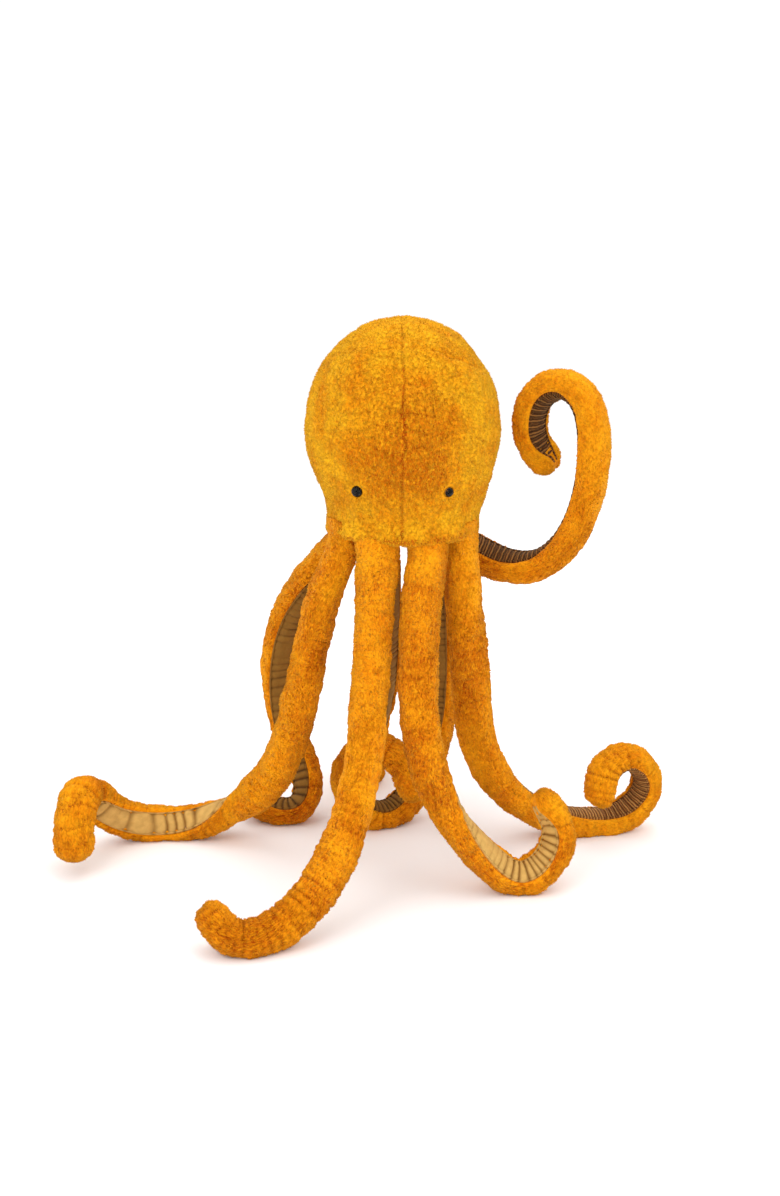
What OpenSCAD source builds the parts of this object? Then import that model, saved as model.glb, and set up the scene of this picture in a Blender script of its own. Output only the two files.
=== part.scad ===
// Large plush octopus with eight poseable arms.
// Each arm is a stuffed fur tube with a velvet strip sewn along its underside
// and a bendable wire through its filling. Two hinges, one where the arm is
// sewn to the head and one part way down, stand for the wire's bending.
// The origin is on the floor under the middle of the object's outer box, +Z is
// up and the face looks along -Y.

/* [Head] */
// Width of the stuffed head
head_width = 206; // [170:1:225]
// Height of the seam under the head above the floor
seam_height = 368; // [350:1:390]
// Height of the widest place above the seam
brow_height = 107; // [80:1:130]
// Height of the crown above the widest place
crown_height = 116; // [90:1:140]
// Width of the head at its bottom seam
neck_width = 156; // [146:1:164]
// How far the edge of the fabric disc under the head lies inside the bottom seam
base_margin = 6; // [5:0.5:9]
// Thickness of the fabric disc under the head
base_thickness = 3; // [2:0.5:5]
// Thickness of the fur fabric, pile and backing together
fur_thickness = 3; // [2:0.5:4]

/* [Eyes] */
// Diameter of each clear eye dome
eye_diameter = 12; // [9:0.5:15]
// Height of the eyes above the bottom seam
eye_height = 52; // [35:1:75]
// Angle of each eye to the side of the middle of the face
eye_angle = 31; // [20:1:40]
// Diameter of the shank that passes through the fur
shank_diameter = 4; // [3:0.5:5]
// Diameter of the washer that locks an eye from inside
washer_diameter = 15; // [12:0.5:18]

/* [Arms] */
// Radius of the ring on which the arms are sewn
ring_radius = 70; // [66:0.5:76]
// Width of an arm where it leaves the head
arm_width_root = 44; // [36:1:46]
// Width of an arm near its tip
arm_width_tip = 40; // [32:1:44]
// Thickness of an arm where it leaves the head
arm_thick_root = 34; // [28:1:36]
// Thickness of an arm near its tip
arm_thick_tip = 30; // [24:1:32]
// Thickness of the velvet on the underside
velvet_thickness = 1.8; // [1:0.1:2.5]
// How far the velvet lies below the pile beside it
velvet_inset = 1; // [0:0.1:1.2]
// Diameter of the bendable wire
wire_diameter = 3.2; // [2:0.2:4]
// Spread of the arms over the floor, in percent of the pose as drawn
arm_spread = 100; // [98:1:110]

/* [Clearances] */
// Gap between the head's base and the arms' round tops
root_gap = 1.5; // [1:0.5:4]
// Gap between stuffing and the fabric round it
stuffing_gap = 0.4; // [0.3:0.1:0.8]
// Gap beyond the round end of the lower arm, where the inside of the upper arm stops
elbow_gap = 1.5; // [1:0.5:4]
// How far before the elbow the upper arm's fabric stops
cuff_gap = 12; // [11:0.5:16]
// Gap round a shank in the fur and the filling
shank_gap = 0.4; // [0.2:0.1:0.8]

/* [Hidden] */
// where each arm leaves the head, in degrees from the middle of the face
ARM_ANGLES = [-67.5, -22.5, 22.5, 67.5, 112.5, -112.5, -157.5, 157.5];
// the control point of each arm at which its lower part bends
ELBOW = 3;
// moves the object so that the origin lies under the middle of its outer box
FRAME_SHIFT = [36, 20, 0];

// The points that each arm's middle line follows after its root, [x, y, height].
ARM_POINTS = [
    // left front: out to the left, along the floor, up and over towards the front
    [[-88, -38, 290], [-106, -46, 215], [-122, -42, 145], [-150, -25, 85], [-190, 0, 40], [-240, 12, 18],
        [-290, 8, 18], [-328, -8, 37], [-346, -28, 66], [-352, -58, 80], [-354, -84, 62], [-354, -90, 34]],
    // front left: forwards and down, then along the floor to the left
    [[-30, -90, 290], [-34, -120, 215], [-40, -152, 155], [-50, -182, 110], [-68, -214, 72], [-98, -244, 38],
        [-134, -264, 18], [-165, -270, 18], [-184, -264, 35]],
    // front right: down and into a hook that opens upwards
    [[19, -90, 290], [17, -115, 210], [22, -127, 158], [34, -133, 116], [56, -136, 76], [86, -134, 42],
        [120, -130, 15], [152, -126, 30], [166, -120, 64], [152, -113, 92]],
    // right: down, out along the floor and round a small loop
    [[68, -32, 290], [76, -30, 220], [81, -24, 152], [99, -15, 94], [130, -2, 54], [170, 12, 26],
        [212, 24, 13], [254, 33, 14], [282, 36, 42], [283, 30, 74], [258, 16, 97], [231, 2, 88], [224, -6, 60]],
    // right back, raised: out to the right, up and round a curl
    [[97, 27, 328], [133, 16, 320], [168, 0, 338], [195, -14, 390], [202, -20, 455], [194, -12, 503],
        [167, 5, 521], [143, 22, 500], [141, 32, 462], [158, 35, 436]],
    // left back: bows out to the left, then folds in along the floor
    [[-108, 58, 290], [-140, 88, 222], [-145, 100, 150], [-131, 96, 92], [-111, 80, 48], [-118, 60, 18],
        [-146, 56, 13], [-174, 66, 23]],
    // back left: backwards and down, then curls forwards along the floor
    [[-25, 95, 290], [-24, 130, 222], [-26, 165, 155], [-30, 202, 100], [-35, 232, 58], [-38, 222, 22],
        [-41, 188, 12], [-43, 157, 32], [-44, 147, 65], [-44, 166, 92]],
    // back right: down and round a coil under the head
    [[37, 86, 290], [44, 98, 220], [44, 98, 152], [40, 88, 96], [22, 70, 46], [-8, 52, 14], [-42, 38, 20],
        [-64, 26, 56], [-58, 16, 92], [-30, 6, 112], [0, -2, 98], [12, -8, 68]]
];

// The direction in which the underside faces at the root and at each point.
UNDERSIDES = [
    [[46, 19, 0], [36, 30, 0], [28, 40, -5], [30, 38, 5], [26, 30, 30], [10, 8, 50], [2, -30, 42],
        [5, -42, 22], [15, -40, 5], [20, -35, -25], [0, -10, -50], [0, 40, -30], [0, 50, 0]],
    [[19, 46, 0], [8, 50, 0], [2, 50, 0], [5, 50, 5], [10, 48, 10], [15, 45, 10], [10, 45, 15],
        [0, 45, 12], [10, 45, 15], [35, 30, 20]],
    [[-19, 46, 0], [-8, 50, 0], [4, 50, 0], [15, 45, 5], [28, 27, 15], [30, 2, 30], [18, -20, 38],
        [0, -28, 42], [-30, -30, 25], [-42, -30, 0], [-28, -30, -25]],
    [[-46, 19, 0], [-32, 38, 0], [-14, 48, 0], [8, 46, 5], [20, 38, 25], [20, 20, 40], [8, 5, 50],
        [0, -5, 50], [-5, -12, 50], [-42, -22, 20], [-42, -12, -25], [5, 5, -50], [40, 25, -20], [45, 20, 0]],
    [[5, -20, 45], [0, -22, 45], [-10, -8, 48], [-35, 12, 35], [-45, 22, 10], [-42, 25, -5],
        [-35, 12, -35], [0, -15, -45], [30, -40, -10], [30, -42, 5], [20, -40, 20]],
    [[46, -19, 0], [30, -40, -5], [20, -48, 0], [10, -48, 5], [-15, -45, 10], [-35, -30, 25],
        [-25, -15, 45], [0, -5, 50], [10, 0, 50]],
    [[19, -46, 0], [8, -50, 0], [2, -50, -15], [0, -48, -15], [0, -50, -15], [0, -50, 10], [0, -25, 45],
        [0, 8, 50], [0, 42, 28], [0, 50, -5], [0, 25, -45]],
    [[-19, -46, 0], [-12, -48, 0], [-14, -48, 0], [-15, -48, 5], [-25, -40, 15], [-35, -20, 30],
        [-10, -10, 50], [20, 0, 45], [45, 10, 10], [30, 12, -35], [0, 14, -48], [-35, 20, -25], [-45, 15, 0]]
];

base_width = neck_width - 2 * base_margin;
base_bottom = seam_height - base_thickness;
root_height = base_bottom - root_gap - arm_thick_root / 2;
DRAWN_ROOT_HEIGHT = 346.5;
brow_z = seam_height + brow_height;

// the fabric's cross-section round an arm: the fur wraps the back and both sides
FUR_ANGLES = [for (k = [0:7]) 136 + k * 268 / 7];
VELVET_ANGLES = [46, 90, 134];
DOME_ANGLES = [68, 46, 23];
RING_SPACING = 24;
WIRE_SIDES = 5;
filling_depth = fur_thickness + stuffing_gap;
groove_half = wire_diameter / 2 + 0.9;

fur_orange = [0.83, 0.49, 0.06];
fur_light = [0.88, 0.56, 0.09];
velvet_brown = [0.62, 0.46, 0.22];
filling_white = [0.94, 0.93, 0.9];
wire_grey = [0.6, 0.61, 0.63];

// ---- the middle line of an arm -------------------------------------------

function root_of(arm) =
    [ring_radius * sin(ARM_ANGLES[arm]), -ring_radius * cos(ARM_ANGLES[arm]), root_height];

// a drawn point, moved as the arms spread and as the head is raised or lowered
function placed(arm, q) =
    let (root = root_of(arm),
        drawn = [70 * sin(ARM_ANGLES[arm]), -70 * cos(ARM_ANGLES[arm])],
        spread = arm_spread / 100,
        up = q.z > DRAWN_ROOT_HEIGHT - 46 ? root_height - DRAWN_ROOT_HEIGHT
            : (root_height - DRAWN_ROOT_HEIGHT) * max(0, q.z - 100) / (DRAWN_ROOT_HEIGHT - 146))
    [root.x + (q.x - drawn.x) * spread, root.y + (q.y - drawn.y) * spread, q.z + up];

function points_of(arm) = [root_of(arm), for (q = ARM_POINTS[arm]) placed(arm, q)];
function unit(v) = v / norm(v);
function underside_of(arm) = [for (v = UNDERSIDES[arm]) unit(v)];

// control points of a smooth curve that passes close to every given point
function eased(p) =
    let (n = len(p) - 1)
    [for (i = [0:n]) i == 0 || i == n ? p[i] : p[i] - (p[i - 1] - 2 * p[i] + p[i + 1]) / 6];
function with_ends(p) =
    let (n = len(p) - 1)
    concat([2 * p[0] - p[1]], p, [2 * p[n] - p[n - 1]]);
function curve(p, u) =
    let (s = min(floor(u), len(p) - 4), t = u - s, r = 1 - t)
    (r * r * r * p[s] + (3 * t * t * t - 6 * t * t + 4) * p[s + 1]
        + (-3 * t * t * t + 3 * t * t + 3 * t + 1) * p[s + 2] + t * t * t * p[s + 3]) / 6;
function slope(p, u) =
    let (s = min(floor(u), len(p) - 4), t = u - s, r = 1 - t)
    (-r * r * p[s] + (3 * t * t - 4 * t) * p[s + 1]
        + (-3 * t * t + 2 * t + 1) * p[s + 2] + t * t * p[s + 3]) / 2;

// place, direction, width direction and underside direction at u, with the half sizes
function station(line, facing, u) =
    let (along = unit(slope(line, u)),
        hint = curve(facing, u),
        under = unit(hint - (hint * along) * along),
        share = u / (len(line) - 3))
    [curve(line, u), along, cross(along, under), under,
        (arm_width_root + (arm_width_tip - arm_width_root) * share) / 2,
        (arm_thick_root + (arm_thick_tip - arm_thick_root) * share) / 2];

// ---- rings of a part of an arm ---------------------------------------------

// [u, angle of the round end] for every ring; a negative angle is a start, a positive one an end
function span_rings(points, from, to) =
    [for (s = [from:to - 1])
        let (n = max(2, ceil(norm(points[s + 1] - points[s]) / RING_SPACING)))
        for (k = [0:n - 1]) s + k / n];
function start_rings(u) = [for (a = DOME_ANGLES) [u, -a]];
function end_rings(u) = [for (k = [len(DOME_ANGLES) - 1:-1:0]) [u, DOME_ANGLES[k]]];

function stop_before(line, u, gap) = u - gap / norm(slope(line, u));

function upper_rings(arm, gap) =
    let (points = points_of(arm),
        stop = stop_before(with_ends(eased(points)), ELBOW, gap))
    concat(start_rings(0), [for (u = span_rings(points, 0, ELBOW)) if (u < stop - 0.12) [u, 0]], [[stop, 0]]);
function lower_rings(arm) =
    let (points = points_of(arm), last = len(points) - 1)
    concat(start_rings(ELBOW), [for (u = span_rings(points, ELBOW, last)) [u, 0]], [[last, 0]], end_rings(last));

// ---- outlines: [across, under, length of the round end, least height] -------

function skin_point(a, b, angle, depth) =
    [(a - depth) * cos(angle), (b - depth) * sin(angle), b - depth, depth];
function skin_outline(a, b, angles, outer, inner) =
    concat([for (t = angles) skin_point(a, b, t, outer)],
        [for (k = [len(angles) - 1:-1:0]) skin_point(a, b, angles[k], inner)]);
function fur_outline(a, b) = skin_outline(a, b, FUR_ANGLES, 0, fur_thickness);
function velvet_outline(a, b) =
    skin_outline(a, b, VELVET_ANGLES, velvet_inset, velvet_inset + velvet_thickness);
// the filling has a groove from the underside to the middle, which holds the wire
function filling_outline(a, b) =
    let (back = b - filling_depth, top = back * sin(62))
    concat([for (t = FUR_ANGLES) skin_point(a, b, t, filling_depth)],
        [[groove_half + 2, top, back, filling_depth], [groove_half, -groove_half, back, filling_depth],
            [-groove_half, -groove_half, back, filling_depth], [-groove_half - 2, top, back, filling_depth]]);
function wire_outline(a, b) =
    [for (k = [0:WIRE_SIDES - 1])
        [wire_diameter / 2 * cos(k * 360 / WIRE_SIDES), wire_diameter / 2 * sin(k * 360 / WIRE_SIDES),
            b - filling_depth, filling_depth]];

function ring_points(st, angle, outline) =
    [for (q = outline)
        let (p = st[0] + cos(angle) * (q[0] * st[2] + q[1] * st[3]) + sin(angle) * q[2] * st[1])
        [p.x, p.y, max(p.z, q[3])]];

// the filling's flat end, as triangles round the two corners at the bottom of the groove
FILLING_CAP = [[9, 8, 7], [9, 7, 6], [9, 6, 5], [9, 5, 4], [10, 9, 4], [10, 4, 3], [10, 3, 2], [10, 2, 1],
    [10, 1, 0], [10, 0, 11]];

// a closed skin through rings of n points each
module swept(rings, n, capped_as_strip) {
    last = (len(rings) - 1) * n;
    // a skin's inner half is split the other way, so that nested layers stay apart
    sides = [for (r = [0:len(rings) - 2]) for (k = [0:n - 1])
        let (a = r * n + k, b = r * n + (k + 1) % n)
        each (capped_as_strip && k >= n / 2
            ? [[a, b, b + n], [a, b + n, a + n]]
            : [[a, b, a + n], [b, b + n, a + n]])];
    strip = [for (k = [0:n / 2 - 2]) let (a = k, b = k + 1, c = n - 2 - k, d = n - 1 - k)
        each [[c, b, a], [d, c, a]]];
    caps = capped_as_strip
        ? concat(strip, [for (f = strip) [last + f[2], last + f[1], last + f[0]]])
        : n == WIRE_SIDES ? [[for (k = [n - 1:-1:0]) k], [for (k = [0:n - 1]) last + k]]
            : concat(FILLING_CAP, [for (f = FILLING_CAP) [last + f[2], last + f[1], last + f[0]]]);
    polyhedron(points = [for (r = rings) each r], faces = concat(sides, caps), convexity = 10);
}

module arm_piece(arm, rings, shape) {
    line = with_ends(eased(points_of(arm)));
    facing = with_ends(eased(underside_of(arm)));
    swept([for (r = rings)
        let (st = station(line, facing, r[0]), a = st[4], b = st[5])
        ring_points(st, r[1], shape == "fur" ? fur_outline(a, b) : shape == "velvet" ? velvet_outline(a, b)
            : shape == "filling" ? filling_outline(a, b) : wire_outline(a, b))],
        shape == "fur" ? 16 : shape == "velvet" ? 6 : shape == "filling" ? 12 : WIRE_SIDES,
        shape == "fur" || shape == "velvet");
}

inside_stop = arm_thick_root / 2 + elbow_gap;

module arm_fur(arm, rings) {
    color(fur_orange) arm_piece(arm, rings, "fur");
}
module arm_underside(arm, rings) {
    color(velvet_brown) arm_piece(arm, rings, "velvet");
}
module arm_core(arm, rings) {
    color(filling_white) arm_piece(arm, rings, "filling");
    // the wire stops inside the filling at both ends
    color(wire_grey) arm_piece(arm, [for (k = [0:len(rings) - 2]) if (abs(rings[k][1]) < 30) rings[k]], "wire");
}

module arm_node(arm, part, layer) {
    rings = part == "lower" ? lower_rings(arm) : upper_rings(arm, layer == "core" ? inside_stop : cuff_gap);
    if (layer == "fur") arm_fur(arm, rings);
    if (layer == "underside") arm_underside(arm, rings);
    if (layer == "core") arm_core(arm, rings);
}

// ---- head --------------------------------------------------------------------

// half width of the head at a height above the seam
function head_radius(h) =
    h < brow_height
        ? head_width / 2 - (head_width - neck_width) / 2 * (1 + cos(180 * h / brow_height)) / 2
        : head_width / 2 * sqrt(max(0, 1 - pow((h - brow_height) / crown_height, 2)));

// points of the head's outline from the seam up to the crown, moved inwards by an inset
BODY_STEPS = 10;
CROWN_STEPS = 18;
function outline_point(k) =
    k < BODY_STEPS
        ? let (h = brow_height * k / BODY_STEPS,
            lean = (head_width - neck_width) / 2 * PI / brow_height * sin(180 * h / brow_height) / 2)
            [[head_radius(h), h], unit([1, -lean])]
        : let (t = 90 * (k - BODY_STEPS) / CROWN_STEPS)
            [[head_width / 2 * cos(t), brow_height + crown_height * sin(t)],
                unit([crown_height * cos(t), head_width / 2 * sin(t)])];
module head_section(inset) {
    translate([0, seam_height]) polygon(concat([[0, inset]],
        [for (k = [0:BODY_STEPS + CROWN_STEPS])
            let (q = outline_point(k), p = q[0] - inset * q[1]) [max(0, p.x), max(inset, p.y)]]));
}

module head_panel(start) {
    difference() {
        rotate([0, 0, start]) rotate_extrude(angle = 90, $fn = 96) difference() {
            head_section(0);
            head_section(fur_thickness);
            square([base_width / 2 + 1, 2 * (seam_height + fur_thickness)], center = true);
        }
        for (side = [-1, 1]) at_eye(side) eye_bore();
    }
}

// places its children at an eye, with the shank pointing into the head along -Z
eye_tilt = 12;
module at_eye(side) {
    r = head_radius(eye_height);
    rotate([0, 0, side * eye_angle]) translate([0, -r, seam_height + eye_height])
        rotate([90 + eye_tilt, 0, 0]) children();
}

shank_length = 16;
module eye_bore() {
    translate([0, 0, -shank_length - 4])
        cylinder(d = shank_diameter + 2 * shank_gap, h = shank_length + 14, $fn = 32);
    cylinder(d = eye_diameter + 2 * shank_gap, h = 12, $fn = 48);
}

module eye_dome(side) {
    // a clear cap over the pupil
    color([0.85, 0.86, 0.86, 0.5]) at_eye(side) translate([0, 0, 1.7]) difference() {
        rotate_extrude($fn = 48) intersection() {
            scale([1, 0.7]) circle(d = eye_diameter, $fn = 48);
            square(eye_diameter);
        }
        translate([0, 0, -1]) cylinder(d = eye_diameter * 0.72, h = 1.9, $fn = 48);
    }
}

module eye_pupil(side) {
    color([0.03, 0.03, 0.03]) at_eye(side) {
        translate([0, 0, 0.2]) cylinder(d = eye_diameter, h = 1.4, $fn = 48);
        translate([0, 0, 1.6]) cylinder(d = eye_diameter * 0.68, h = 0.9, $fn = 48);
        translate([0, 0, -shank_length]) cylinder(d = shank_diameter, h = shank_length + 0.3, $fn = 32);
    }
}

washer_depth = fur_thickness + 4.5;
module eye_washers() {
    color([0.9, 0.9, 0.88]) for (side = [-1, 1]) at_eye(side) translate([0, 0, -washer_depth - 1.5])
        difference() {
            cylinder(d = washer_diameter, h = 1.5, $fn = 48);
            translate([0, 0, -1]) cylinder(d = shank_diameter + 0.1, h = 4, $fn = 32);
        }
}

module head_base() {
    color(fur_orange) translate([0, 0, base_bottom])
        cylinder(d = base_width, h = base_thickness, $fn = 96);
}

hub_height = seam_height + 12;
hub_radius = ring_radius - 22;
hub_wire = 4;
module armature_hub() {
    color(wire_grey) translate([0, 0, hub_height]) {
        rotate_extrude($fn = 72) translate([hub_radius, 0]) circle(d = hub_wire, $fn = 24);
        for (arm = [0:3]) rotate([0, 0, 22.5 + arm * 45]) rotate([90, 0, 0])
            cylinder(d = hub_wire, h = 2 * hub_radius, center = true, $fn = 24);
    }
}

module head_filling() {
    color(filling_white) difference() {
        rotate_extrude($fn = 96) difference() {
            head_section(fur_thickness + stuffing_gap);
            square([2 * (hub_radius + hub_wire), 2 * (hub_height + hub_wire)], center = true);
        }
        // room for the eyes' shanks and washers
        for (side = [-1, 1]) at_eye(side) translate([0, 0, -shank_length - 3])
            cylinder(d = washer_diameter + 2, h = shank_length + 4, $fn = 48);
    }
}

// ---- nodes ---------------------------------------------------------------------

PARTS = ["upper", "lower"];
LAYERS = ["fur", "underside", "core"];
function arm_name(arm, part, layer) = str("arm_", arm + 1, "_", part, "_", layer);

module head_front_left() { color(fur_light) head_panel(180); }
module head_front_right() { color(fur_orange) head_panel(270); }
module head_back_left() { color(fur_orange) head_panel(90); }
module head_back_right() { color(fur_light) head_panel(0); }

module placed_in_frame() { translate(FRAME_SHIFT) children(); }

placed_in_frame() head_front_left();
placed_in_frame() head_front_right();
placed_in_frame() head_back_left();
placed_in_frame() head_back_right();
placed_in_frame() head_base();
placed_in_frame() head_filling();
placed_in_frame() armature_hub();
placed_in_frame() eye_dome(-1);  // eye_left
placed_in_frame() eye_dome(1);  // eye_right
placed_in_frame() eye_pupil(-1);  // eye_left_pupil
placed_in_frame() eye_pupil(1);  // eye_right_pupil
placed_in_frame() eye_washers();
for (arm = [0:7]) for (part = PARTS) for (layer = LAYERS)
    placed_in_frame() arm_node(arm, part, layer);
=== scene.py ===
# %% [markdown]
# # A plush octopus with eight poseable arms
#
# The toy is a stuffed head of short fur, with eight long stuffed arms sewn under it. The back and sides
# of every arm are fur and the underside is a gathered strip of velvet. In this lesson you load the packed
# model, which fixes every size and joint, and then dress it in fabric that wrinkles, gathers and has pile.

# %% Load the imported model
import itertools
import math
from random import Random
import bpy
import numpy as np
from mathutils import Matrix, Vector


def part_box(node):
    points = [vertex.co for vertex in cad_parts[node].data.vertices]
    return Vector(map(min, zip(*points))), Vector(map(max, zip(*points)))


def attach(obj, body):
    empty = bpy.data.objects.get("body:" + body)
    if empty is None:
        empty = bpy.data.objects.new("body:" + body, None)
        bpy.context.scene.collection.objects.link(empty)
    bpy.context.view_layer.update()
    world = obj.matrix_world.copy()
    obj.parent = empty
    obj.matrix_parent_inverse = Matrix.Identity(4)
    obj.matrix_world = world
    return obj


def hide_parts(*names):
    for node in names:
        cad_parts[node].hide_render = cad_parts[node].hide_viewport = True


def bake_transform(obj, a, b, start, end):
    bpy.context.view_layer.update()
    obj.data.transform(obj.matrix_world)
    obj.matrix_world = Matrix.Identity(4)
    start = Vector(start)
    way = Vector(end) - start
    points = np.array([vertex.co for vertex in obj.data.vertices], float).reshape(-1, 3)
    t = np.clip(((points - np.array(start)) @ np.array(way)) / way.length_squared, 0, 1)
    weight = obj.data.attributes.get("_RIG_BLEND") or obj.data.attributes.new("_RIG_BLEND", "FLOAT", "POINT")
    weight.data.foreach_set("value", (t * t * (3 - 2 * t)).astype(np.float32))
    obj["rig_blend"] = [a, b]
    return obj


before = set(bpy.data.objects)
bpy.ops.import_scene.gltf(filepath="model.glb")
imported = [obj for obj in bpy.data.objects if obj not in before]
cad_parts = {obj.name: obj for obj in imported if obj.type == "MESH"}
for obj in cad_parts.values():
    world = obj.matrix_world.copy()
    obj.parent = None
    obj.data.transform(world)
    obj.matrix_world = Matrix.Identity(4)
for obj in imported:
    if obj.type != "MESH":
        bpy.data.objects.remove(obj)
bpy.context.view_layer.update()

from types import SimpleNamespace

import bmesh
import bpy
import numpy as np
from mathutils import Vector

# %% [markdown]
# ## The light, the floor and the camera
#
# A soft toy shows its colour best on a white sweep of paper under big soft lamps, where the shadows stay
# faint. A wide floor, a white world and three large area lamps give that light. They come first, so that
# every later piece can be looked at as it is made.

# %% The white world and the floor
scene = bpy.context.scene
scene.view_settings.view_transform = "Standard"
scene.view_settings.look = "None"


def shader(name):
    """A new material, its node tree and its Principled shader."""
    material = bpy.data.materials.new(name)
    material.use_nodes = True
    return material, material.node_tree, material.node_tree.nodes["Principled BSDF"]


WORLD_LIGHT = 1.06
world = bpy.data.worlds.new("white studio")
scene.world = world
world.use_nodes = True
background = world.node_tree.nodes["Background"]
background.inputs["Color"].default_value = (1.0, 1.0, 1.0, 1.0)
background.inputs["Strength"].default_value = WORLD_LIGHT

FLOOR_SIZE = 14.0
PAPER_WHITE = 0.965
bm = bmesh.new()
bmesh.ops.create_grid(bm, x_segments=2, y_segments=2, size=FLOOR_SIZE / 2)
floor_mesh = bpy.data.meshes.new("floor")
bm.to_mesh(floor_mesh)
bm.free()
floor = bpy.data.objects.new("floor", floor_mesh)
scene.collection.objects.link(floor)
paper, _, paper_shader = shader("white paper")
paper_shader.inputs["Base Color"].default_value = (PAPER_WHITE, PAPER_WHITE, PAPER_WHITE, 1)
paper_shader.inputs["Roughness"].default_value = 0.9
floor_mesh.materials.append(paper)
print("floor:", FLOOR_SIZE, "m wide")

# %% Three lamps and the camera
LAMPS = [
    # name, place in metres, power in watts, width in metres
    ("key", (-1.6, -2.2, 2.6), 26, 1.8),
    ("fill", (2.2, -1.4, 1.8), 14, 2.0),
    ("top", (0.2, 0.4, 2.9), 21, 2.2),
]
LAMP_TARGET = Vector((0, 0, 0.3))
for lamp_name, place, power, size in LAMPS:
    lamp = bpy.data.lights.new(lamp_name, "AREA")
    lamp.energy = power
    lamp.size = size
    lamp_object = bpy.data.objects.new(lamp_name, lamp)
    lamp_object.location = place
    aim = LAMP_TARGET - Vector(place)
    lamp_object.rotation_euler = aim.to_track_quat("-Z", "Y").to_euler()
    scene.collection.objects.link(lamp_object)

LENS_MM, SENSOR_MM = 42.14, 36
CAMERA_PLACE = (0.023, -1.480, 0.660)
LOOKS_DOWN = 13.94      # degrees below the horizon
camera_data = bpy.data.cameras.new("camera")
camera_data.lens = LENS_MM
camera_data.sensor_width = SENSOR_MM
camera = bpy.data.objects.new("camera", camera_data)
camera.location = CAMERA_PLACE
camera.rotation_euler = (math.radians(90 - LOOKS_DOWN), 0, 0)
scene.collection.objects.link(camera)
scene.camera = camera
print("lamps:", len(LAMPS), " lens:", LENS_MM, "mm")

# %% [markdown]
# ## The route of each arm
#
# A wire inside each arm holds the pose. Each arm therefore follows a route: a few points in space, and
# at every point the direction that the velvet underside faces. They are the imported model's own points in
# millimetres. A smooth curve, a cubic B-spline, passes close to each of them, so that no bend is sharp.

# %% Routes and undersides
MM = 0.001
SHIFT = np.array([36, 20, 0])
ROOT_ANGLES = [-67.5, -22.5, 22.5, 67.5, 112.5, -112.5, -157.5, 157.5]
ROOT_RADIUS, ROOT_HEIGHT = 70, 346.5
ROUTES = [
    [[-88, -38, 290], [-106, -46, 215], [-122, -42, 145], [-150, -25, 85], [-190, 0, 40], [-240, 12, 18],
     [-290, 8, 18], [-328, -8, 37], [-346, -28, 66], [-352, -58, 80], [-354, -84, 62], [-354, -90, 34]],
    [[-30, -90, 290], [-34, -120, 215], [-40, -152, 155], [-50, -182, 110], [-68, -214, 72],
     [-98, -244, 38], [-134, -264, 18], [-165, -270, 18], [-184, -264, 35]],
    [[19, -90, 290], [17, -115, 210], [22, -127, 158], [34, -133, 116], [56, -136, 76], [86, -134, 42],
     [120, -130, 15], [152, -126, 30], [166, -120, 64], [152, -113, 92]],
    [[68, -32, 290], [76, -30, 220], [81, -24, 152], [99, -15, 94], [130, -2, 54], [170, 12, 26],
     [212, 24, 13], [254, 33, 14], [282, 36, 42], [283, 30, 74], [258, 16, 97], [231, 2, 88],
     [224, -6, 60]],
    [[97, 27, 328], [133, 16, 320], [168, 0, 338], [195, -14, 390], [202, -20, 455], [194, -12, 503],
     [167, 5, 521], [143, 22, 500], [141, 32, 462], [158, 35, 436]],
    [[-108, 58, 290], [-140, 88, 222], [-145, 100, 150], [-131, 96, 92], [-111, 80, 48], [-118, 60, 18],
     [-146, 56, 13], [-174, 66, 23]],
    [[-25, 95, 290], [-24, 130, 222], [-26, 165, 155], [-30, 202, 100], [-35, 232, 58], [-38, 222, 22],
     [-41, 188, 12], [-43, 157, 32], [-44, 147, 65], [-44, 166, 92]],
    [[37, 86, 290], [44, 98, 220], [44, 98, 152], [40, 88, 96], [22, 70, 46], [-8, 52, 14],
     [-42, 38, 20], [-64, 26, 56], [-58, 16, 92], [-30, 6, 112], [0, -2, 98], [12, -8, 68]],
]
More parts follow.
